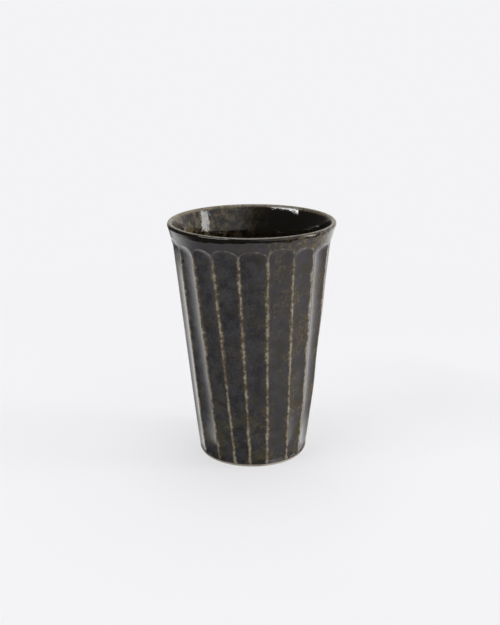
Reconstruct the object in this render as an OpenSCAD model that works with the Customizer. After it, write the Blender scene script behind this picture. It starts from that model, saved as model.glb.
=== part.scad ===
// Fluted stoneware cup without a handle. It is thrown and turned, then its wall is carved with
// upright concave flutes that end in round arches under a plain collar. Four pieces make it up:
// the fired clay, and three coats of glaze that bare clay keeps apart at the foot, or that
// meet edge to edge under the lip.

/* [Wall] */
// Height of the finished cup
cup_h = 117; // [95:1:140]
// Diameter of the turned wall at the table, before the flutes are cut
base_d = 54.4; // [45:0.2:64]
// Diameter of the turned wall where it starts to flare
neck_d = 75.2; // [66:0.2:88]
// Height of the flared part, from the neck to the lip
flare_h = 15; // [12:0.5:18]
// Radius of the flare, seen from the side
flare_r = 66; // [55:1:90]
// Thickness of the finished lip, which is fully rounded
lip_t = 2.6; // [2.1:0.1:3.2]
// Thickness of the finished wall at the floor, before the flutes are cut
base_wall_t = 4.4; // [3.6:0.1:5.6]
// Thickness of the finished wall at the neck, before the flutes are cut
neck_wall_t = 4.2; // [3.6:0.1:5.2]
// Thickness of the floor, from the table to the inside glaze
floor_t = 7; // [5.8:0.1:9]
// Radius inside, where the floor turns up into the wall
corner_r = 9; // [6:0.5:12]

/* [Flutes] */
// Number of flutes round the cup
flute_count = 18; // [14:1:22]
// Depth of a flute at the neck, below a straight line across its two ridges
flute_depth = 0.9; // [0.6:0.1:1.3]
// Plain collar above the flutes, from their arches to the lip
collar_h = 6.6; // [5:0.2:9]
// Height of a flute's rounded upper end
arch_h = 4.6; // [3.6:0.2:6]
// Plain band below the flutes, from the table to their lower ends
band_h = 1.6; // [1.2:0.1:3]
// Height of a flute's rounded lower end, where the tool lifts off
lift_h = 2.2; // [1.6:0.1:3.2]
// Lean of the flutes, whose feet drift to the right as they go down
flute_lean = 2; // [0:0.5:4]
// Height by which one arch can stand above or below the others
arch_unevenness = 1; // [0:0.1:1.4]
// How far a cut runs past its ridges at the neck, so that no turned wall is left between flutes
ridge_overrun = 0.25; // [0.15:0.05:0.5]
// Direction of the first ridge, from the front of the cup
first_ridge = -62; // [-90:1:0]

/* [Foot] */
// Width of the bare ring that the cup stands on
ring_w = 4.6; // [3.5:0.1:6]
// Height of the bevel round the foot
bevel_h = 0.6; // [0.4:0.1:1]
// How far the bevel draws in
bevel_w = 0.5; // [0.4:0.1:0.9]
// Depth of the hollow under the floor
recess_h = 2.4; // [1.8:0.1:3]
// Radius of the hollow's corner
recess_r = 1.5; // [1:0.1:1.7]
// Slope of the hollow's side, from upright
recess_slope = 25; // [15:1:35]

/* [Glaze] */
// Thickness of the glaze on the ridges, collar, lip and inside
coat_t = 0.2; // [0.15:0.01:0.3]
// Extra glaze that pools along the middle of a flute
pool_t = 0.3; // [0.15:0.01:0.4]
// Bare clay below the edge of the outside glaze
foot_line_h = 1.2; // [1.1:0.1:2.4]
// How far the inside glaze laps over the lip and down the outside
lap_h = 2.6; // [2:0.1:3.6]
// Bare clay between the table and the glaze in the hollow
recess_line_h = 0.8; // [0.5:0.1:1.2]

/* [Hidden] */
$fn = 200;

clay_colour = "#9c9283";
outer_colour = "#3c393b";
inner_colour = "#1d1a13";
foot_colour = "#2d2a26";

// How far cuts and the solids behind a coat run past what they meet
overrun = 4;
// How far a round runs past the lines that it joins, so that they cross instead of just touching
bite = 0.02;

// Carving by hand leaves no two flutes alike. Widths are shares of the mean, going round from
// the first ridge, and arch heights are shares of arch_unevenness.
width_shares = [0.98, 0.9, 0.88, 0.95, 1.02, 0.94, 1.12, 0.96, 0.98, 1.08, 0.96, 1.04, 1.07,
    0.97, 1.02, 1.09, 0.97, 1.02];
arch_shares = [-0.8, -0.3, 0.3, 0.1, 1, 0.1, -0.8, 0.4, -0.2, 0.7, -0.6, 0.2, 0.9, -0.4, 0,
    0.6, -0.7, 0.3];

// Side view of the wall. Points are [radius, height], and angles are from upright.
function outward(angle) = [cos(angle), -sin(angle)];

base_r = base_d / 2;
neck_r = neck_d / 2;
neck_h = cup_h - flare_h;
taper = (neck_r - base_r) / neck_h;
wall_angle = atan(taper);
neck = [neck_r, neck_h];
flare_centre = neck + flare_r * outward(wall_angle);

// The lip is a half round that runs on smoothly from the flare outside and the wall inside.
lip_r = lip_t / 2;
lip_z = cup_h - lip_r;
lip = [flare_centre[0] - sqrt((flare_r + lip_r) ^ 2 - (lip_z - flare_centre[1]) ^ 2), lip_z];

// Inside, a straight wall rises from the floor to the neck, and an arc takes it to the lip.
floor_point = [base_r - base_wall_t, floor_t];
inner_neck = [neck_r - neck_wall_t, neck_h];
inner_angle = atan((inner_neck[0] - floor_point[0]) / (inner_neck[1] - floor_point[1]));
to_lip = lip - inner_neck;
inner_r = (to_lip * to_lip - lip_r ^ 2) / (2 * (to_lip * outward(inner_angle) - lip_r));
inner_centre = inner_neck + inner_r * outward(inner_angle);
corner_z = floor_t + corner_r;
corner = [floor_point[0] + corner_r * tan(inner_angle) - corner_r / cos(inner_angle), corner_z];

// The foot stands on a ring between its bevel and the hollow under the floor.
ring_r = base_r - bevel_w;
recess_mouth = ring_r - ring_w;
recess_corner = [
    recess_mouth - (recess_h - recess_r) * tan(recess_slope) - recess_r / cos(recess_slope),
    recess_h - recess_r
];

function wall_r(z) = base_r + z * taper;
function flare_wall_r(z) = flare_centre[0] - sqrt(flare_r ^ 2 - (z - flare_centre[1]) ^ 2);

// Directions and widths of the flutes
function share(shares, i) = shares[i % len(shares)];
function share_sum(i) = i < 0 ? 0 : share(width_shares, i) + share_sum(i - 1);
function tool_radius(r, depth) = (2 * r * sin(180 / flute_count)) ^ 2 / (8 * depth) + depth / 2;
function flute_middle(r, half_angle, tool_r) =
    r * cos(half_angle) - tool_r + sqrt(tool_r ^ 2 - (r * sin(half_angle)) ^ 2);
function ridge_at(i) = first_ridge + 360 * share_sum(i - 1) / share_sum(flute_count - 1);

// Half side view of the turned wall, filled to the axis, with its skin drawn in by inset
module wall_outline(inset) {
    foot = [base_r - inset / cos(wall_angle), 0];
    difference() {
        polygon([[0, 0], foot, neck - inset * outward(wall_angle), flare_centre, lip,
            [0, lip[1]]]);
        translate(flare_centre) circle(flare_r + inset + bite);
    }
}

// Half side view of the inside, up to the middle of the lip, grown by coat
module cavity_outline(coat) {
    r = corner_r + coat;
    difference() {
        polygon([[0, floor_t - coat], [corner[0], floor_t - coat],
            corner + r * outward(inner_angle), inner_neck + coat * outward(inner_angle),
            inner_centre, lip, [lip[0], cup_h + overrun], [0, cup_h + overrun]]);
        translate(inner_centre) circle(inner_r - coat + bite);
    }
    translate(corner) circle(r + bite);
}

// Half side view of the whole cup before its foot is turned, with its skin drawn in by inset
module cup_outline(inset) {
    difference() {
        wall_outline(inset);
        cavity_outline(inset);
    }
    translate(lip) circle(lip_r - inset + bite);
}

// Half side view of the hollow under the floor, grown by coat
module recess_outline(coat) {
    r = recess_r + coat;
    mouth = recess_mouth + coat / cos(recess_slope);
    polygon([[0, -overrun], [mouth + overrun * tan(recess_slope), -overrun],
        recess_corner + r * [cos(recess_slope), sin(recess_slope)],
        [recess_corner[0], recess_h + coat], [0, recess_h + coat]]);
    translate(recess_corner) circle(r + bite);
}

// One flute's cut, with its middle on +X. It is round like the tool that carves it, and it leans
// out so that it meets its ridges both at the foot and at the neck. Both its ends are rounded.
module flute_cut(half_angle, top, inset, depth) {
    skin = inset / cos(wall_angle);
    tool_r = tool_radius(neck_r - skin, depth);
    foot_middle = flute_middle(base_r - skin, half_angle, tool_r);
    tilt = atan((flute_middle(neck_r - skin, half_angle, tool_r) - foot_middle) / neck_h);
    start = (band_h + lift_h) / cos(tilt) - tool_r * tan(tilt);
    end = (top - arch_h) / cos(tilt) - tool_r * tan(tilt);
    foot_reach = (wall_r(band_h) - skin - foot_middle - band_h * tan(tilt)) * cos(tilt);
    reach = (flare_wall_r(top) - skin - foot_middle - top * tan(tilt)) * cos(tilt);
    foot_round_r = (lift_h ^ 2 + foot_reach ^ 2) / (2 * foot_reach);
    round_r = (arch_h ^ 2 + reach ^ 2) / (2 * reach);
    translate([foot_middle + tool_r / cos(tilt), 0, 0]) rotate([0, tilt, 0]) rotate_extrude() {
        polygon([[0, start - foot_round_r], [tool_r - foot_round_r, start - foot_round_r],
            [tool_r, start], [tool_r, end], [tool_r - round_r, end + round_r],
            [0, end + round_r]]);
        translate([tool_r - foot_round_r, start]) circle(foot_round_r + bite);
        translate([tool_r - round_r, end]) circle(round_r + bite);
    }
}

// All the flutes' cuts. The finished wall has no inset and the plain depth, and the clay
// under the glaze is drawn in and cut deeper.
module flute_cuts(inset, depth) {
    lean_z = (cup_h - collar_h) / 2;
    past_ridge = ridge_overrun / neck_r * 180 / PI;
    for (i = [0 : flute_count - 1]) {
        middle = (ridge_at(i) + ridge_at(i + 1)) / 2;
        half_angle = (ridge_at(i + 1) - ridge_at(i)) / 2 + past_ridge;
        top = cup_h - collar_h + arch_unevenness * share(arch_shares, i);
        rotate([0, 0, middle - 90]) translate([0, 0, lean_z]) rotate([flute_lean, 0, 0])
            translate([0, 0, -lean_z]) flute_cut(half_angle, top, inset, depth);
    }
}

// Wall, floor and foot, thrown as one piece, turned, carved and fired
module clay_body() {
    color(clay_colour) difference() {
        rotate_extrude() difference() {
            cup_outline(coat_t);
            polygon([[ring_r, 0], [base_r + overrun, 0], [base_r + overrun, bevel_h],
                [wall_r(bevel_h), bevel_h]]);
            recess_outline(0);
        }
        flute_cuts(coat_t, flute_depth + pool_t);
    }
}

// Satin glaze over the carved outside, thin on the ridges and pooled in the flutes
module outer_glaze() {
    color(outer_colour) difference() {
        rotate_extrude() intersection() {
            wall_outline(0);
            translate([0, foot_line_h]) square([neck_d, cup_h - lap_h - foot_line_h]);
        }
        flute_cuts(0, flute_depth);
        difference() {
            rotate_extrude() wall_outline(coat_t);
            flute_cuts(coat_t, flute_depth + pool_t);
        }
    }
}

// Gloss glaze inside, carried over the lip and a little way down the outside
module inner_glaze() {
    color(inner_colour) rotate_extrude() intersection() {
        difference() {
            cup_outline(0);
            cup_outline(coat_t);
        }
        polygon([[0, floor_t - overrun / 2], floor_point + [base_wall_t, -overrun] / 2,
            (neck + inner_neck) / 2, [lip[0], cup_h - lap_h], [neck_r + overrun, cup_h - lap_h],
            [neck_r + overrun, cup_h], [0, cup_h]]);
    }
}

// Glaze left in the hollow under the floor when the foot is wiped clean
module foot_glaze() {
    color(foot_colour) rotate_extrude() intersection() {
        difference() {
            recess_outline(0);
            recess_outline(-coat_t);
        }
        translate([0, recess_line_h]) square([recess_mouth, recess_h]);
    }
}

clay_body();
outer_glaze();
inner_glaze();
foot_glaze();
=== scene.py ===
"""A fluted stoneware tumbler: its clay body and its three coats of glaze, on a pale table."""

import math

import bmesh
import bpy
from mathutils import Matrix, Vector, noise


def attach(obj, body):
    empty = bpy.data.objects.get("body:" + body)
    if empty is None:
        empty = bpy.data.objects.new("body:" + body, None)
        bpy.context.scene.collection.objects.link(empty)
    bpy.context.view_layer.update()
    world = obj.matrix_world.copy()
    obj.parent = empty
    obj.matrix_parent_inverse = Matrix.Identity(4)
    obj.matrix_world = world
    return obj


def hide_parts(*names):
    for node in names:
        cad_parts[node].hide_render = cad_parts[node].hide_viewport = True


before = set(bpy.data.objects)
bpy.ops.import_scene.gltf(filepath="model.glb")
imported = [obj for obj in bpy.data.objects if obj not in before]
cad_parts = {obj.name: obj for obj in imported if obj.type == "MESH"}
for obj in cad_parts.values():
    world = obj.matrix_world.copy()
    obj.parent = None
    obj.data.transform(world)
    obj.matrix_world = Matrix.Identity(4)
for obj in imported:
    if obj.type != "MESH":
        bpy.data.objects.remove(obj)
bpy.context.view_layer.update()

MM = 0.001


# Camera
# It stands a little above the cup and looks down at its front, as in the photograph. The image
# is 500 by 625 pixels, so the long side is the height.

IMAGE_HEIGHT_PX = 625
FOCAL_PX = 968.7
SENSOR_MM = 36
CAMERA_DISTANCE = 455.0 * MM
CAMERA_HEIGHT = 212.6 * MM
CAMERA_PITCH = math.radians(18.24)
CAMERA_ROLL = math.radians(-0.3)
AXIS_RIGHT_OF_CENTRE_PX = 2.3
LENS_CENTRE_BELOW_MIDDLE_PX = 15.5

camera_data = bpy.data.cameras.new("camera")
camera_data.sensor_width = SENSOR_MM
camera_data.lens = FOCAL_PX / IMAGE_HEIGHT_PX * SENSOR_MM
camera_data.shift_x = -AXIS_RIGHT_OF_CENTRE_PX / IMAGE_HEIGHT_PX
camera_data.shift_y = LENS_CENTRE_BELOW_MIDDLE_PX / IMAGE_HEIGHT_PX
camera = bpy.data.objects.new("camera", camera_data)
camera.location = (0, -CAMERA_DISTANCE, CAMERA_HEIGHT)
camera.rotation_euler = (math.pi / 2 - CAMERA_PITCH, 0, 0)
camera.rotation_euler.rotate_axis("Z", CAMERA_ROLL)
bpy.context.scene.collection.objects.link(camera)
bpy.context.scene.camera = camera
bpy.context.scene.view_settings.view_transform = "Standard"


# Table and studio
# A pale table runs on into a pale backdrop, with white walls behind and at the right, and a dark
# room on the left. Round the cup lies a card for its glazes to reflect: dark in front and far to
# the left, and white elsewhere and close beside the foot.


def srgb(red, green, blue):
    """A colour picked as screen values from 0 to 255, as a shader needs it."""
    return tuple(
        value / 255 / 12.92 if value < 11 else ((value / 255 + 0.055) / 1.055) ** 2.4
        for value in (red, green, blue)
    )


class Socket:
    """One output of a shader node. A sum or product of outputs and numbers adds its Math nodes."""

    def __init__(self, shader, output):
        self.shader = shader
        self.output = output

    def __add__(self, other):
        return self.shader.math("ADD", self, other)

    def __sub__(self, other):
        return self.shader.math("SUBTRACT", self, other)

    def __rsub__(self, other):
        return self.shader.math("SUBTRACT", other, self)

    def __mul__(self, other):
        return self.shader.math("MULTIPLY", self, other)

    __radd__ = __add__
    __rmul__ = __mul__

    def clamped(self):
        """The same, kept between 0 and 1."""
        return self.shader.math("MINIMUM", self.shader.math("MAXIMUM", self, 0.0), 1.0)

    def ramp(self, low, high):
        """0 below low and 1 above high, with a smooth step between."""
        values = {"Value": self, "From Min": low, "From Max": high}
        return self.shader.node("MapRange", {"interpolation_type": "SMOOTHSTEP"}, values)


class Shader:
    """The node tree of one finish, or of the studio."""

    def __init__(self, tree):
        self.tree = tree
        self.tree.nodes.clear()

    def node(self, kind, settings=None, sockets=None, output=0):
        """Adds a node: its settings first, then the values or links of its sockets."""
        made = self.tree.nodes.new("ShaderNode" + kind)
        for name, value in (settings or {}).items():
            setattr(made, name, value)
        for name, value in (sockets or {}).items():
            if isinstance(value, Socket):
                self.tree.links.new(value.output, made.inputs[name])
            else:
                made.inputs[name].default_value = value
        return Socket(self, made.outputs[output]) if made.outputs else None

    def math(self, operation, *values):
        """One Math node, on outputs or numbers."""
        return self.node("Math", {"operation": operation}, dict(enumerate(values)))

    def mix(self, mask, first, second):
        """The first colour where the mask is 0, and the second where it is 1."""
        first, second = (
            colour if isinstance(colour, Socket) else (*colour, 1) for colour in (first, second)
        )
        return self.node("Mix", {"data_type": "RGBA"}, {0: mask, 6: first, 7: second}, 2)

    def place(self):
        """Object coordinates, in metres."""
        return self.node("TexCoord", output="Object")

    def axis(self, name):
        """One of the object coordinates: X to the right, Y to the back or Z up."""
        return self.node("SeparateXYZ", None, {"Vector": self.place()}, name)

    def dot(self, first, second):
        """How far one direction goes along another, from -1 to 1."""
        return self.node("VectorMath", {"operation": "DOT_PRODUCT"}, {0: first, 1: second}, "Value")

    def length(self, vector):
        """How long a vector is, in metres where it is a place."""
        return self.node("VectorMath", {"operation": "LENGTH"}, {0: vector}, "Value")

    def ray_is(self, kind):
        """1 for the rays of a kind, such as Camera, and 0 for all others."""
        return self.node("LightPath", output=f"Is {kind} Ray")

    def noise(self, size, detail=2.0, roughness=0.5, stretch=(1, 1, 1)):
        """Soft random blotches, 0 to 1, about as wide as size."""
        scaled = self.node("Mapping", None, {"Vector": self.place(), "Scale": stretch})
        values = {"Vector": scaled, "Scale": 1 / size, "Detail": detail, "Roughness": roughness}
        return self.node("TexNoise", None, values)

    def bump(self, height, strength, distance):
        """Fine relief, no deeper than distance."""
        values = {"Height": height, "Strength": strength, "Distance": distance}
        return self.node("Bump", None, values)

    def principled(self, colour, roughness, bump):
        """Ends the tree of a finish with its colour, roughness and relief."""
        values = {"Base Color": colour, "Roughness": roughness, "Normal": bump}
        self.surface(self.node("BsdfPrincipled", None, values))

    def surface(self, shader, kind="Material"):
        """Ends a tree with its shader."""
        self.node("Output" + kind, None, {"Surface": shader})


def finish_of(thing, name):
    """Gives a piece or a studio sheet a new material, and returns its node tree to build."""
    material = bpy.data.materials.new(name)
    material.use_nodes = True
    thing.data.materials.append(material)
    return Shader(material.node_tree)


def studio_disk(name, radius, sides, height):
    """A flat round sheet under the cup that belongs to the studio."""
    bm = bmesh.new()
    bmesh.ops.create_circle(bm, cap_ends=True, segments=sides, radius=radius)
    bmesh.ops.translate(bm, vec=(0, 0, height), verts=bm.verts)
    mesh = bpy.data.meshes.new(name)
    bm.to_mesh(mesh)
    bm.free()
    disk = bpy.data.objects.new(name, mesh)
    bpy.context.scene.collection.objects.link(disk)
    return disk


# The table fades into the backdrop between two distances from the cup, and the fill lightens the
# cup's shadow in the camera's view.
BACKGROUND = srgb(243, 243, 245)
TABLE_COLOUR = srgb(240, 240, 242)
TABLE_RADIUS = 6.0
TABLE_SIDES = 96
FADE_START = 0.10
FADE_END = 0.42
SHADOW_FILL = 0.6

table = studio_disk("table", TABLE_RADIUS, TABLE_SIDES, 0)
paint = finish_of(table, "pale_table")
lens = paint.ray_is("Camera")
seen = (lens + paint.ray_is("Glossy") + paint.ray_is("Transmission")).clamped()
faded = paint.length(paint.place()).ramp(FADE_START, FADE_END) * seen
faded = faded + (1 - faded) * lens * SHADOW_FILL
matte = paint.node("BsdfDiffuse", None, {"Color": (*TABLE_COLOUR, 1)})
glow = paint.node("Emission", None, {"Color": (*BACKGROUND, 1), "Strength": 1.0})
paint.surface(paint.node("MixShader", None, {0: faded, 1: matte, 2: glow}))

# The room's light, by how far a direction goes towards the dark side
DARK_LEVEL = 0.08
BRIGHT_LEVEL = 0.8
DARK_SIDE = (-0.95, -0.3, 0)
DARK_SIDE_RAMP = (-0.15, 0.4)

world = bpy.data.worlds.new("light_tent")
world.use_nodes = True
bpy.context.scene.world = world
tent = Shader(world.node_tree)
darkness = tent.dot(tent.node("TexCoord", output="Generated"), DARK_SIDE).ramp(*DARK_SIDE_RAMP)
level = BRIGHT_LEVEL - darkness * (BRIGHT_LEVEL - DARK_LEVEL)
tent_light = tent.node("Background", None, {"Color": (1, 1, 1, 1), "Strength": level})
backdrop = tent.node("Background", None, {"Color": (*BACKGROUND, 1), "Strength": 1.0})
shown = tent.node("MixShader", None, {0: tent.ray_is("Camera"), 1: tent_light, 2: backdrop})
tent.surface(shown, "World")

CUP_MIDDLE = Vector((0, 0, 60 * MM))


def softbox(name, place, width, height, power):
    """A rectangular lamp that faces the middle of the cup, in metres and watts."""
    data = bpy.data.lights.new(name, "AREA")
    data.shape = "RECTANGLE"
    data.size, data.size_y = width, height
    data.energy = power
    lamp = bpy.data.objects.new(name, data)
    lamp.location = place
    lamp.rotation_euler = (CUP_MIDDLE - Vector(place)).to_track_quat("-Z", "Y").to_euler()
    bpy.context.scene.collection.objects.link(lamp)
    return lamp


# The slanted strip makes the arc of light inside the rim at the back right.
STRIP_SLANT = math.radians(20)

softbox("overhead_softbox", (-0.1, 0.15, 1.2), width=0.8, height=0.8, power=4.5)
strip = softbox("left_strip", (-0.95, -0.5, 1.04), width=0.95, height=0.1, power=6.5)
strip.rotation_euler.rotate_axis("Z", STRIP_SLANT)
softbox("window_right", (1.0, -0.1, 0.4), width=0.25, height=0.64, power=3.5)

# Each ramp of the card is over a direction's share of front or left, or over the distance from
# the cup's axis.
CARD_RADIUS = 5.5
CARD_SIDES = 64
CARD_HEIGHT = 1 * MM
CARD_WHITE = 1.3
CARD_DARK = 0.07
CARD_FRONT = (0.12, -0.99, 0)
FRONT_RAMP = (-0.75, 0.05)
FAR_LEFT_RAMP = (0.2, 0.42)
FAR_LEFT_REACH = (0.28, 0.4)
BESIDE_RAMP = (0.9, 0.985)
BESIDE_REACH = (0.03, 0.07)

card = studio_disk("graded_card", CARD_RADIUS, CARD_SIDES, CARD_HEIGHT)
card.visible_camera = card.visible_diffuse = card.visible_shadow = False
flag = finish_of(card, "graded_card")
heading = flag.node("VectorMath", {"operation": "NORMALIZE"}, {0: flag.place()})
leftward = flag.dot(heading, (-1, 0, 0))
reach = flag.length(flag.place())
front = flag.dot(heading, CARD_FRONT).ramp(*FRONT_RAMP)
far_left = leftward.ramp(*FAR_LEFT_RAMP) * reach.ramp(*FAR_LEFT_REACH)
beside = flag.math("ABSOLUTE", leftward).ramp(*BESIDE_RAMP) * (1 - reach.ramp(*BESIDE_REACH))
gloom = flag.math("MAXIMUM", front, far_left) * (1 - beside)
whiteness = CARD_WHITE - gloom * (CARD_WHITE - CARD_DARK)
flag.surface(flag.node("Emission", None, {"Color": (1, 1, 1, 1), "Strength": whiteness}))


# Bare stoneware
# The cup is thrown in one piece from a pale, gritty clay, then turned and carved with eighteen
# upright flutes. Fired clay shows only at the foot, where the glaze is wiped off.

BASE_RADIUS = 27.2 * MM
NECK_RADIUS = 37.6 * MM
NECK_HEIGHT = 102.0 * MM
FLARE_RADIUS = 66.0 * MM
CUP_HEIGHT = 117.0 * MM
LIP_THICKNESS = 2.6 * MM
BASE_WALL = 4.4 * MM
NECK_WALL = 4.2 * MM
FLOOR_THICKNESS = 7.0 * MM
CORNER_RADIUS = 9.0 * MM
COAT = 0.2 * MM
POOL = 0.3 * MM

WALL_SLOPE = (NECK_RADIUS - BASE_RADIUS) / NECK_HEIGHT
WALL_ANGLE = math.atan(WALL_SLOPE)


def outward(angle):
    """Direction square to a line of the side view that leans out from upright by an angle."""
    return Vector((math.cos(angle), -math.sin(angle)))


# The side view's points are (radius, height). Outside, the wall runs straight up to the neck
# and flares on an arc, and inside it does the same, up to a fully rounded lip.
neck = Vector((NECK_RADIUS, NECK_HEIGHT))
flare_centre = neck + FLARE_RADIUS * outward(WALL_ANGLE)
lip_radius = LIP_THICKNESS / 2
lip = Vector((0, CUP_HEIGHT - lip_radius))
to_centre = FLARE_RADIUS + lip_radius
lip.x = flare_centre.x - math.sqrt(to_centre**2 - (lip.y - flare_centre.y) ** 2)
floor_edge = Vector((BASE_RADIUS - BASE_WALL, FLOOR_THICKNESS))
inner_neck = Vector((NECK_RADIUS - NECK_WALL, NECK_HEIGHT))
inner_angle = math.atan2(inner_neck.x - floor_edge.x, inner_neck.y - floor_edge.y)
to_lip = lip - inner_neck
inner_radius = (to_lip.length_squared - lip_radius**2) / (
    2 * (to_lip.dot(outward(inner_angle)) - lip_radius)
)
inner_centre = inner_neck + inner_radius * outward(inner_angle)
corner = Vector((floor_edge.x, FLOOR_THICKNESS + CORNER_RADIUS))
corner.x += CORNER_RADIUS * (math.tan(inner_angle) - 1 / math.cos(inner_angle))


def wall_radius(height):
    """Radius of the turned outside, before it is carved."""
    if height < NECK_HEIGHT:
        return BASE_RADIUS + height * WALL_SLOPE
    rise = height - flare_centre.y
    return flare_centre.x - math.sqrt(FLARE_RADIUS**2 - rise**2)


def steps(start, end, size):
    """Even steps from start to end, both included, no longer than size."""
    count = max(1, math.ceil(abs(end - start) / size))
    return [start + (end - start) * n / count for n in range(count + 1)]


def arc(centre, radius, angles):
    """Points of the side view on an arc, at the given angles above level."""
    return [
        (centre.x + radius * math.cos(angle), centre.y + radius * math.sin(angle))
        for angle in angles
    ]


def outside(inset, heights):
    """Side view of the outside skin, drawn in by inset, at the given heights."""
    return [(wall_radius(height) - inset / math.cos(WALL_ANGLE), height) for height in heights]


def over_lip(inset, size):
    """Side view of the skin over the lip, from the outside to the inside."""
    start = math.atan2(flare_centre.y - lip.y, flare_centre.x - lip.x)
    end = math.atan2(lip.y - inner_centre.y, lip.x - inner_centre.x)
    return arc(lip, lip_radius - inset, steps(start, end, size / lip_radius))


def inside(inset, size):
    """Side view of the inside skin from the lip down to the middle of the floor."""
    radius = inner_radius - inset
    top = lip + (lip_radius - inset) * (lip - inner_centre).normalized()
    points = [
        (inner_centre.x - math.sqrt(radius**2 - (height - inner_centre.y) ** 2), height)
        for height in steps(top.y, NECK_HEIGHT, size)
    ]
    round_radius = CORNER_RADIUS + inset
    high, low = Vector(points[-1]), corner + round_radius * outward(inner_angle)
    shares = steps(0, 1, size / (high - low).length)
    points += [tuple(high.lerp(low, share)) for share in shares[1:]]
    turn = steps(-inner_angle, -math.pi / 2, size / CORNER_RADIUS)
    points += arc(corner, round_radius, turn[1:])
    floor = steps(corner.x, 0, 2 * size)
    return points + [(distance, FLOOR_THICKNESS - inset) for distance in floor[1:]]


# The flutes are carved by hand, so no two are alike. Widths, leans and arch heights are shares,
# going round from the first ridge.
FLUTE_COUNT = 18
FLUTE_DEPTH = 0.9 * MM
FLUTE_ARCH_HEIGHT = 4.6 * MM
FLUTE_LIFT_HEIGHT = 2.2 * MM
BAND_HEIGHT = 1.6 * MM
COLLAR_HEIGHT = 6.6 * MM
ARCH_UNEVENNESS = 1.0 * MM
RIDGE_OVERRUN = 0.25 * MM
RIDGE_ROUNDING = 0.35 * MM
EDGE_SOFTNESS = 0.16 * MM
FIRST_RIDGE = math.radians(-62)
FLUTE_LEAN = math.radians(2)
WIDTH_SHARES = [0.98, 0.9, 0.88, 0.95, 1.02, 0.94, 1.12, 0.96, 0.98]
WIDTH_SHARES += [1.08, 0.96, 1.04, 1.07, 0.97, 1.02, 1.09, 0.97, 1.02]
LEAN_SHARES = [0.2, 1.2, 1.4, 1, 0.62, 1.12, 1.35, 1.7, 0.9]
LEAN_SHARES += [1, 0.8, 1.2, 1, 0.7, 1.1, 1.3, 0.9, 0.8]
ARCH_SHARES = [-0.8, -0.3, 0.3, 0.1, 1, 0.1, -0.8, 0.4, -0.2]
ARCH_SHARES += [0.7, -0.6, 0.2, 0.9, -0.4, 0, 0.6, -0.7, 0.3]

arch_line = CUP_HEIGHT - COLLAR_HEIGHT
lean_height = arch_line / 2
mean_chord = 2 * NECK_RADIUS * math.sin(math.pi / FLUTE_COUNT)
tool_radius = mean_chord**2 / (8 * FLUTE_DEPTH) + FLUTE_DEPTH / 2

# What the hand leaves: a ridge wanders slowly and quickly along its length, the flutes have low
# waves, and the wall swells at two heights on the right.
RIDGE_WANDER = 0.22 * MM
SLOW_WANDER = 14 * MM
QUICK_WANDER = 4 * MM
QUICK_SHARE = 0.7
HAND_WAVES = 0.05 * MM
LONG_WAVE = 9 * MM
SHORT_WAVE = 4 * MM
SHORT_SHARE = 0.5
MEAN_DIP = 0.6
SWELL = 0.6 * MM
SWELL_SPREAD = 14 * MM
SWELL_HEIGHTS_AND_SHARES = [(36 * MM, 1.0), (68 * MM, 0.7)]
FOOT_TAPER = 0.45 * MM
FOOT_TAPER_FADE = 8 * MM

COLUMNS_PER_FLUTE = 24
RIDGE_CROWDING = 0.8
NOT_CUT = -2 * MM


def ridge_angle(number, height):
    """Direction of a ridge at a height. It leans, and it wanders a little like a hand's cut."""
    turns, ridge = divmod(number, FLUTE_COUNT)
    share = sum(WIDTH_SHARES[:ridge]) / sum(WIDTH_SHARES) + turns
    drift = (lean_height - height) * math.tan(FLUTE_LEAN) * LEAN_SHARES[ridge]
    # Each ridge reads the noise along lines of its own.
    wander = noise.noise(Vector((height / SLOW_WANDER, ridge * 7.3, 0)))
    wander += QUICK_SHARE * noise.noise(Vector((height / QUICK_WANDER, ridge * 3.1, 5)))
    return FIRST_RIDGE + math.tau * share + (drift + wander * RIDGE_WANDER) / wall_radius(height)


def cut_depth(turn, height):
    """How deep a flute is cut below the turned wall, its true direction, and the distance to its
    nearer ridge, where turn counts flutes from the first ridge. A negative depth is the plain
    collar's height over the cut."""
    number = math.floor(turn)
    across = turn - number
    # The mesh's columns crowd towards the ridges, where the shape and the glaze change most.
    across -= RIDGE_CROWDING * math.sin(math.tau * across) / math.tau
    left, right = ridge_angle(number, height), ridge_angle(number + 1, height)
    half = (right - left) / 2
    angle = left + across * 2 * half
    wall = BASE_RADIUS + height * WALL_SLOPE
    aside = (half - abs(angle - left - half)) * wall
    width = half * wall
    edge = math.hypot(aside, RIDGE_ROUNDING) - RIDGE_ROUNDING * (1 - aside / width)
    off_middle = (width - edge) / wall
    carved_half = half + RIDGE_OVERRUN / NECK_RADIUS
    middle = wall * math.cos(carved_half) - tool_radius
    middle += math.sqrt(tool_radius**2 - (wall * math.sin(carved_half)) ** 2)
    # Near either end the tool lifts out of the clay on an arc, so that a flute's end is rounded.
    if height > BAND_HEIGHT + FLUTE_LIFT_HEIGHT:
        end = arch_line + ARCH_UNEVENNESS * ARCH_SHARES[number % FLUTE_COUNT]
        rounding = FLUTE_ARCH_HEIGHT
        past = max(0, height - end + rounding)
    else:
        end, rounding = BAND_HEIGHT, FLUTE_LIFT_HEIGHT
        past = end + rounding - height
    reach = wall_radius(end) - (middle + (end - height) * WALL_SLOPE)
    round_radius = (rounding**2 + reach**2) / (2 * reach)
    if past >= round_radius:
        return NOT_CUT, angle, aside
    bite = tool_radius - round_radius + math.sqrt(round_radius**2 - past**2)
    centre = middle + tool_radius
    inside_tool = bite**2 - (centre * math.sin(off_middle)) ** 2
    if inside_tool <= 0:
        return NOT_CUT, angle, aside
    cut = centre * math.cos(off_middle) - math.sqrt(inside_tool)
    return wall_radius(height) - cut, angle, aside


def bell(distance, width):
    """1 at no distance, falling smoothly to nearly 0 at twice the width."""
    return math.exp(-((distance / width) ** 2))


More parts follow.
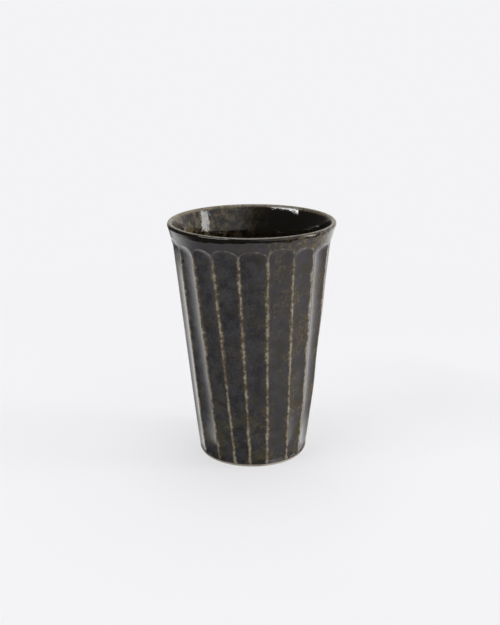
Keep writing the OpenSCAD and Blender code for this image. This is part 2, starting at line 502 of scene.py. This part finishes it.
def uneven_wall(side, height):
    """How far the wall lies inside its drawn line: it swells a little on the right, where side is
    the direction's share of that way, and narrows to the foot."""
    swell = sum(
        share * bell(height - middle, SWELL_SPREAD) for middle, share in SWELL_HEIGHTS_AND_SHARES
    )
    return FOOT_TAPER * math.exp(-height / FOOT_TAPER_FADE) - SWELL * swell * max(0, side) ** 4


# The glaze runs thin on a line along every ridge, and less along the foot and each arch's edge.
# An arch's line lies a little inside the cut, and the ridges' lines end below the arches.
FOOT_LINE = 1.2 * MM
FOOT_THINNESS = 0.8
FOOT_LINE_WIDTH = 0.2 * MM
RIDGE_LINE_WIDTH = 0.66 * MM
RIDGE_LINE_END = 5 * MM
COLLAR_EDGE_WIDTH = 0.1 * MM
ARCH_THINNESS = 0.64
ARCH_LINE_DEPTH = 0.08 * MM
ARCH_LINE_WIDTH = 0.34 * MM


def glaze_thinness(depth, aside, height):
    """How thin the glaze is, up to 1, at a depth of cut, a distance from a ridge and a height."""
    fade = min(1, max(0, (arch_line - height) / RIDGE_LINE_END))
    ridge = bell(aside, RIDGE_LINE_WIDTH) * fade
    if height < lean_height:
        return max(ridge, FOOT_THINNESS * bell(height - FOOT_LINE, FOOT_LINE_WIDTH))
    ridge *= bell(min(0, depth), COLLAR_EDGE_WIDTH)
    return max(ridge, ARCH_THINNESS * bell(depth - ARCH_LINE_DEPTH, ARCH_LINE_WIDTH))


CARVE_FADE = 2.2 * MM


def carve(bm):
    """Turns a mesh to the first ridge, moves its points where the carved and glazed wall has
    them, and stores how thin the glaze is there. Points deeper under the skin than CARVE_FADE
    stay round."""
    thin = bm.verts.layers.float.new("thin")
    to_first_ridge = Matrix.Rotation(FIRST_RIDGE, 3, "Z")
    bmesh.ops.rotate(bm, cent=(0, 0, 0), matrix=to_first_ridge, verts=bm.verts)
    for vertex in bm.verts:
        x, y, height = vertex.co
        radius = math.hypot(x, y)
        wall = wall_radius(height)
        under = wall - radius
        if under > CARVE_FADE:
            continue
        turned = math.atan2(x, -y)
        turn = (turned - FIRST_RIDGE) % math.tau / math.tau * FLUTE_COUNT
        raw, angle, aside = cut_depth(turn, height)
        depth = (raw + math.hypot(raw, EDGE_SOFTNESS)) / 2
        place = Vector((math.sin(angle), -math.cos(angle), 0)) * wall
        place.z = height
        # The waves mostly dip, so that the glaze stays inside the drawn wall. The short ones read
        # the noise elsewhere, so that they don't repeat the long ones.
        waves = noise.noise(place / LONG_WAVE)
        waves += SHORT_SHARE * noise.noise(place / SHORT_WAVE + Vector((9, 0, 0)))
        depth += HAND_WAVES * (MEAN_DIP + waves) * min(1, depth / FLUTE_DEPTH)
        depth += uneven_wall(math.sin(angle), height)
        # Points move fully down to two coats under the skin, and less and less below that.
        share = max(0, 1 - max(0, under - 2 * COAT) / (CARVE_FADE - 2 * COAT))
        pooled = under * POOL / COAT * min(1, max(0, raw) / FLUTE_DEPTH)
        radius -= (depth + pooled) * share
        angle = turned + (angle - turned + math.pi) % math.tau - math.pi
        angle = turned + (angle - turned) * share
        vertex.co = (radius * math.sin(angle), -radius * math.cos(angle), height)
        vertex[thin] = glaze_thinness(raw, aside, height)


# Corners sharper than this stay sharp in the shading.
CORNER_ANGLE = math.radians(50)
MERGE_DISTANCE = 0.002 * MM


def turned_mesh(name, outline, columns_per_flute, shape=None):
    """Spins a closed side view into a solid of rings, and lets shape move its points."""
    bm = bmesh.new()
    points = [bm.verts.new((radius, 0, height)) for radius, height in outline]
    pairs = [pair for pair in zip(points, points[1:]) if max(pair[0].co.x, pair[1].co.x) > 0]
    if outline[0][0] > 0:
        pairs.append((points[-1], points[0]))
    edges = [bm.edges.new(pair) for pair in pairs]
    # One flute's share of the turn is spun, and then that share is repeated round the axis.
    share = math.tau / FLUTE_COUNT
    turn = {"cent": (0, 0, 0), "axis": (0, 0, 1)}
    bmesh.ops.spin(bm, geom=points + edges, angle=share, steps=columns_per_flute, **turn)
    whole = bm.verts[:] + bm.edges[:] + bm.faces[:]
    angle, copies = math.tau - share, FLUTE_COUNT - 1
    bmesh.ops.spin(bm, geom=whole, angle=angle, steps=copies, use_duplicate=True, **turn)
    bmesh.ops.remove_doubles(bm, verts=bm.verts, dist=MERGE_DISTANCE)
    bmesh.ops.recalc_face_normals(bm, faces=bm.faces)
    if shape:
        shape(bm)
    for face in bm.faces:
        face.smooth = True
    for edge in bm.edges:
        edge.smooth = edge.calc_face_angle(0) < CORNER_ANGLE
    mesh = bpy.data.meshes.new(name)
    bm.to_mesh(mesh)
    bm.free()
    piece = bpy.data.objects.new(name, mesh)
    bpy.context.scene.collection.objects.link(piece)
    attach(piece, "root")
    return piece


# The foot: a bare ring to stand on, bevelled outside, round a hollow under the floor
RING_WIDTH = 4.6 * MM
BEVEL_HEIGHT = 0.6 * MM
BEVEL_WIDTH = 0.5 * MM
RECESS_HEIGHT = 2.4 * MM
RECESS_RADIUS = 1.5 * MM
RECESS_SLOPE = math.radians(25)
CEILING_ROWS = 3 * MM

ring_outer = BASE_RADIUS - BEVEL_WIDTH
ring_inner = ring_outer - RING_WIDTH
recess_corner = Vector((ring_inner, RECESS_HEIGHT - RECESS_RADIUS))
recess_corner.x -= recess_corner.y * math.tan(RECESS_SLOPE) + RECESS_RADIUS / math.cos(RECESS_SLOPE)


def hollow(inset, low, size):
    """Side view of the hollow under the floor, from height low to the middle."""
    mouth = ring_inner - inset / math.cos(RECESS_SLOPE) - low * math.tan(RECESS_SLOPE)
    turn = steps(RECESS_SLOPE, math.pi / 2, size / RECESS_RADIUS)
    points = [(mouth, low)] + arc(recess_corner, RECESS_RADIUS - inset, turn)
    ceiling = steps(recess_corner.x, 0, CEILING_ROWS)
    return points + [(distance, RECESS_HEIGHT - inset) for distance in ceiling[1:]]


# The outer glaze ends at the lap, where the lining's edge comes down to it. The mesh has close
# rows at the two ends of the flutes, wide ones on the straight wall, and few where glaze hides it.
LAP = 2.6 * MM
CLOSE_ROWS = 0.3 * MM
WIDE_ROWS = 1.6 * MM
HIDDEN_LIP_ROWS = 0.5 * MM
HIDDEN_ROWS = 6 * MM
RECESS_ROWS = 0.4 * MM
RECESS_FIRST_ROW = 0.05 * MM

lap_height = CUP_HEIGHT - LAP
arch_band = arch_line - 6.5 * MM
lift_band = BAND_HEIGHT + FLUTE_LIFT_HEIGHT + 0.7 * MM
rows = steps(FOOT_LINE, lift_band, CLOSE_ROWS) + steps(lift_band, arch_band, WIDE_ROWS)[1:]
rows += steps(arch_band, lap_height, CLOSE_ROWS)[1:]

clay_outline = hollow(0, RECESS_FIRST_ROW, RECESS_ROWS)[::-1]
clay_outline += [(ring_inner, 0), (ring_inner + RING_WIDTH / 2, 0), (ring_outer, 0)]
clay_outline += outside(COAT, [BEVEL_HEIGHT] + rows)
clay_outline += over_lip(COAT, HIDDEN_LIP_ROWS) + inside(COAT, HIDDEN_ROWS)
clay = turned_mesh("bare_stoneware", clay_outline, COLUMNS_PER_FLUTE, carve)

PALE_CLAY = srgb(202, 195, 184)
BUFF_CLAY = srgb(180, 170, 154)
GRIT = srgb(110, 97, 81)

shader = finish_of(clay, "fired_buff_clay")
grit = shader.noise(0.5 * MM, 3.0).ramp(0.56, 0.7)
patches = shader.noise(7 * MM, 3.0).ramp(0.35, 0.7)
colour = shader.mix(patches, PALE_CLAY, BUFF_CLAY)
colour = shader.mix(grit * 0.6, colour, GRIT)
turning_lines = shader.noise(0.5 * MM, 2.0, stretch=(0.12, 0.12, 1))
relief = shader.bump(turning_lines + grit * 0.5, 0.35, 0.12 * MM)
shader.principled(colour, 0.82, relief)
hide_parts("clay_body")


# Satin outer glaze
# One dip of an iron-rich glaze over the carved outside, wiped off just above the table. It runs
# thin and brown on every ridge and arch, and pools dark and purple-grey in the flutes. Along the
# arches a pale grey highlight is painted over the thin glaze.

# The waves are noise read along circles of these radii, so that they close up round the cup.
LAP_WAVES = 1.0 * MM
LAP_WAVE_CIRCLE = 4.5
LAP_RIPPLE_CIRCLE = 14
LAP_RIPPLE_SHARE = 0.35
LAP_TILT = 0.75 * MM
LAP_LEVEL_SIDE = 0.1
LAP_TOP = lip.y - 0.45 * MM
LAP_FADE = 3.5 * MM


def waver(bm):
    """Lets the edge where the two glazes meet waver round the cup and lie lower on the left, the
    same in both of them."""
    for vertex in bm.verts:
        x, y, height = vertex.co
        radius = math.hypot(x, y)
        if radius < lip.x or not lap_height - LAP_FADE < height < lip.y:
            continue
        below = (lap_height - height) / LAP_FADE
        share = 1 - below if below > 0 else (lip.y - height) / (lip.y - lap_height)
        waves = noise.noise(Vector((x, y, 0)) * (LAP_WAVE_CIRCLE / radius))
        ripples = noise.noise(Vector((x, y, radius)) * (LAP_RIPPLE_CIRCLE / radius))
        waves += LAP_RIPPLE_SHARE * ripples
        moved = height + (LAP_TILT * (x / radius - LAP_LEVEL_SIDE) + LAP_WAVES * waves) * share
        moved = max(height, min(moved, LAP_TOP)) if height < LAP_TOP < moved else moved
        scale = 1 + (wall_radius(moved) - wall_radius(height)) / radius
        vertex.co = (x * scale, y * scale, moved)


def carve_and_waver(bm):
    """Shapes the outer glaze, which follows the carving and ends at the other glaze."""
    carve(bm)
    waver(bm)


glaze_outline = outside(0, rows) + outside(COAT, rows[::-1])
satin = turned_mesh("satin_outer_glaze", glaze_outline, COLUMNS_PER_FLUTE, carve_and_waver)

DARK_FLUTE = srgb(46, 45, 47)
GREY_FLUTE = srgb(70, 69, 72)
WARM_GREY = srgb(87, 84, 84)
COLLAR_GREY = srgb(76, 74, 77)
OLIVE = srgb(76, 72, 57)
TAN = srgb(114, 102, 81)
RUST = srgb(118, 104, 80)
DARK_FOOT_BLOTCH = srgb(30, 29, 27)
THIN_BROWN = srgb(94, 83, 66)
ARCH_THIN_AND_HIGHLIGHT = srgb(110, 104, 96)
BARE_TAN = srgb(128, 114, 93)
BARE_CREAM = srgb(166, 158, 143)
ARCH_BARE_AND_HIGHLIGHT = srgb(124, 120, 117)
PINHOLE_SHADE_BLACK = srgb(8, 8, 8)
PINHOLE = (-31.9 * MM, -18.6 * MM, 101.7 * MM)
PINHOLE_RADII = (0.6 * MM, 0.95 * MM)

# Where on the cup: the collar, the arches under it, the right side, the lower half and the foot
shader = finish_of(satin, "iron_satin_glaze")
height = shader.axis("Z")
collar = height.ramp(arch_line - 4 * MM, arch_line + 1 * MM)
arched = height.ramp(arch_line - 6.9 * MM, arch_line - 2.4 * MM)
warm_side = shader.axis("X").ramp(-6 * MM, 24 * MM)
lower_half = 1 - height.ramp(8 * MM, 50 * MM)
foot = 1 - height.ramp(1.5 * MM, 5 * MM)
wiped = 1 - height.ramp(1.4 * MM, 3.2 * MM)

# The thick glaze: dark grey, warmer on the right, with olive blotches and tan flecks
thin = shader.node("Attribute", {"attribute_name": "thin"}, output="Fac")
grain = shader.noise(0.8 * MM, 3.0, 0.7) * 0.5 + shader.noise(5 * MM, 3.0) * 0.5
colour = shader.mix(grain.ramp(0.36, 0.64), DARK_FLUTE, GREY_FLUTE)
colour = shader.mix(warm_side * 0.6, colour, WARM_GREY)
colour = shader.mix(collar * 0.6, colour, COLLAR_GREY)
blotches = shader.noise(7 * MM, 4.0, 0.6).ramp(0.47, 0.62)
olive = (blotches * (warm_side * 0.3 + lower_half * 0.55 + 0.25)).clamped()
colour = shader.mix(olive, colour, OLIVE)
clusters = shader.noise(9 * MM, 3.0, 0.6).ramp(0.46, 0.6)
flecks = shader.noise(1.2 * MM, 3.0, 0.7).ramp(0.48, 0.62)
tan = (flecks * clusters * (warm_side * 0.6 + lower_half * 0.3 + 0.12)).clamped()
colour = shader.mix(tan, colour, TAN)
rust = shader.noise(1.8 * MM, 3.0, 0.65).ramp(0.5, 0.62) * collar * warm_side
colour = shader.mix(rust * 0.8, colour, RUST)
# Blotches low on the flutes, near the foot and away from the thin lines, are darkened nearly black.
pooled = foot * (1 - thin.ramp(0.05, 0.4))
colour = shader.mix(pooled * blotches.ramp(0.0, 0.5), colour, DARK_FOOT_BLOTCH)

# The thin glaze: a brown fringe, and in it a jagged line where clay nearly shows
jagged = shader.noise(0.55 * MM, 3.0, 0.8) + shader.noise(2.2 * MM, 2.0) - 1
broken = 1 - shader.noise(4 * MM, 3.0, 0.65, stretch=(1, 1, 0.6)).ramp(0.38, 0.6)
fringe = (thin.ramp(0.0, 0.5) * 1.1 + jagged * 2.0 - broken * 0.3).clamped()
# The brown fringe is mostly left off the arches, where a painted highlight takes its place.
fringe = fringe * thin.ramp(0.0, 0.1) * (1 - arched * 0.85)
colour = shader.mix(fringe, colour, THIN_BROWN)
# Along the arches the thin glaze is tinted pale grey: a painted highlight on the arch edges.
colour = shader.mix(thin.ramp(0.1, 0.7) * arched * 0.42, colour, ARCH_THIN_AND_HIGHLIGHT)
edge = thin + jagged * 2.2 - broken * 0.42 + warm_side * 0.12 + lower_half * 0.12
edge = edge.ramp(0.3, 1.05) * thin.ramp(0.02, 0.2)
core = shader.mix(shader.noise(1.3 * MM, 3.0, 0.7).ramp(0.4, 0.6), BARE_TAN, BARE_CREAM)
# At the arches the nearly bare line is painted grey as a highlight, except where there is rust.
core = shader.mix(arched * (1 - rust) * 0.8, core, ARCH_BARE_AND_HIGHLIGHT)
colour = shader.mix(edge, colour, core)

# A black dot is painted as the shade inside a pinhole that the mesh doesn't have; it is also rough.
from_pinhole = {0: shader.place(), 1: PINHOLE}
pinhole = shader.node("VectorMath", {"operation": "DISTANCE"}, from_pinhole, "Value")
pinhole = 1 - pinhole.ramp(*PINHOLE_RADII)
colour = shader.mix(pinhole, colour, PINHOLE_SHADE_BLACK)

roughness = shader.noise(3 * MM, 3.0) * 0.1 + 0.1 + edge * 0.2 + wiped * 0.35 + pinhole * 0.7
texture = shader.noise(0.7 * MM, 3.0) * 0.6 + shader.noise(4 * MM, 2.0)
shader.principled(colour, roughness, shader.bump(texture, 0.12, 0.1 * MM))
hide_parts("outer_glaze")


# Gloss lining
# A second, glossy black glaze poured inside and out again, and carried over the lip. The lip is
# dipped in it, so that it ends in a soft edge just under the rim.

THROWING_RINGS = 0.12 * MM
RING_SPACING = 7.5 * MM
RING_UNEVENNESS = 0.6
RING_WAVE = 8 * MM
SMOOTH_LIP = 2 * MM
SMOOTH_MIDDLE = 1 * MM
OUTSIDE_BAND = 1.5 * MM
LIP_FADE = 10 * MM
WALL_FADE_RADIUS = 12 * MM
FLOOR_FADE_RADIUS = 6 * MM
FLOOR_EDGE_FADE = 2 * MM
FLOOR_FLATNESS = 0.01 * MM


def throw(bm):
    """Leaves the potter's finger marks inside, as a shallow spiral that fades at the lip and at
    the middle of the floor."""
    for vertex in bm.verts:
        x, y, height = vertex.co
        radius = math.hypot(x, y)
        at_outside = radius > wall_radius(height) - OUTSIDE_BAND
        if height > lip.y - SMOOTH_LIP or at_outside or radius < SMOOTH_MIDDLE:
            continue
        turn = math.atan2(y, x) / math.tau
        if abs(height - FLOOR_THICKNESS) < FLOOR_FLATNESS:
            spiral = math.sin(math.tau * (radius / RING_SPACING + turn))
            fade = min(1, radius / FLOOR_FADE_RADIUS)
            fade *= min(1, (corner.x - radius) / FLOOR_EDGE_FADE)
            vertex.co.z += THROWING_RINGS * (1 + spiral) * max(0, fade)
            continue
        fade = min(1, (lip.y - SMOOTH_LIP - height) / LIP_FADE)
        fade *= min(1, radius / WALL_FADE_RADIUS)
        spiral = math.sin(math.tau * (height / RING_SPACING + turn))
        spiral += RING_UNEVENNESS * noise.noise(Vector((x, y, height)) / RING_WAVE)
        scale = 1 - THROWING_RINGS * fade * (1 + spiral) / 2 / radius
        vertex.co = (x * scale, y * scale, height)
    waver(bm)


LIP_ROWS = 0.2 * MM
INSIDE_ROWS = 1.1 * MM

lining_outline = outside(0, [lap_height]) + over_lip(0, LIP_ROWS) + inside(0, INSIDE_ROWS)
back = outside(COAT, [lap_height]) + over_lip(COAT, HIDDEN_LIP_ROWS) + inside(COAT, HIDDEN_ROWS)
lining = turned_mesh("gloss_lining", lining_outline + back[::-1], COLUMNS_PER_FLUTE, throw)

GLOSS_BLACK = srgb(20, 18, 13)
MOTTLED_BROWN = srgb(104, 90, 68)
CREST_TAN = srgb(136, 125, 105)

# Brown mottling: inside on the upper left, and outside on the right of the lip
shader = finish_of(lining, "gloss_black_glaze")
sideways, height = shader.axis("X"), shader.axis("Z")
flat_place = shader.node("VectorMath", {"operation": "MULTIPLY"}, {0: shader.place(), 1: (1, 1, 0)})
outer = shader.length(flat_place).ramp(lip.x + 0.1 * MM, lip.x + 0.5 * MM)
mottle = shader.noise(3.5 * MM, 4.0, 0.65).ramp(0.42, 0.62)
upper = height.ramp(CUP_HEIGHT - 40 * MM, CUP_HEIGHT - 4 * MM)
left = (1 - sideways.ramp(-32 * MM, 14 * MM)) * (1 - outer)
right = sideways.ramp(4 * MM, 34 * MM) * outer
colour = shader.mix(mottle * upper * (left + right * 0.9), GLOSS_BLACK, MOTTLED_BROWN)

# The glaze runs thin on the crest of the lip, over a wider band at the back.
crest = height.ramp(CUP_HEIGHT - 0.35 * MM, CUP_HEIGHT - 0.05 * MM)
behind = shader.axis("Y").ramp(-12 * MM, 2 * MM)
wide_crest = height.ramp(CUP_HEIGHT - 1.7 * MM, CUP_HEIGHT - 0.5 * MM) * behind
crest = shader.math("MAXIMUM", crest, wide_crest)
speckle = shader.noise(0.9 * MM, 3.0, 0.7).ramp(0.38, 0.6)
colour = shader.mix(crest * (speckle * 0.7 + 0.2), colour, CREST_TAN)

waves = shader.noise(6 * MM, 2.0) + shader.noise(1.5 * MM, 3.0) * 0.42
shader.principled(colour, crest * 0.25 + 0.06, shader.bump(waves, 0.3, 0.3 * MM))
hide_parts("inner_glaze")


# Glaze in the foot's hollow
# What is left of the dip under the floor, when the ring that the cup stands on is wiped clean. It
# is thin, so the clay's brown shows through it in patches.

RECESS_LINE = 0.8 * MM
POOL_ROWS = 0.3 * MM
POOL_COLUMNS_PER_FLUTE = 16

pool = hollow(0, RECESS_LINE, POOL_ROWS) + hollow(COAT, RECESS_LINE, POOL_ROWS)[::-1]
foot_pool = turned_mesh("foot_hollow_glaze", pool, POOL_COLUMNS_PER_FLUTE)

FOOT_BLACK = srgb(40, 37, 34)
FOOT_BROWN = srgb(70, 60, 47)

shader = finish_of(foot_pool, "thin_foot_glaze")
mottle = shader.noise(4 * MM, 4.0, 0.6).ramp(0.42, 0.62)
colour = shader.mix(mottle, FOOT_BLACK, FOOT_BROWN)
shader.principled(colour, 0.35, shader.bump(mottle, 0.2, 0.1 * MM))
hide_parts("foot_glaze")
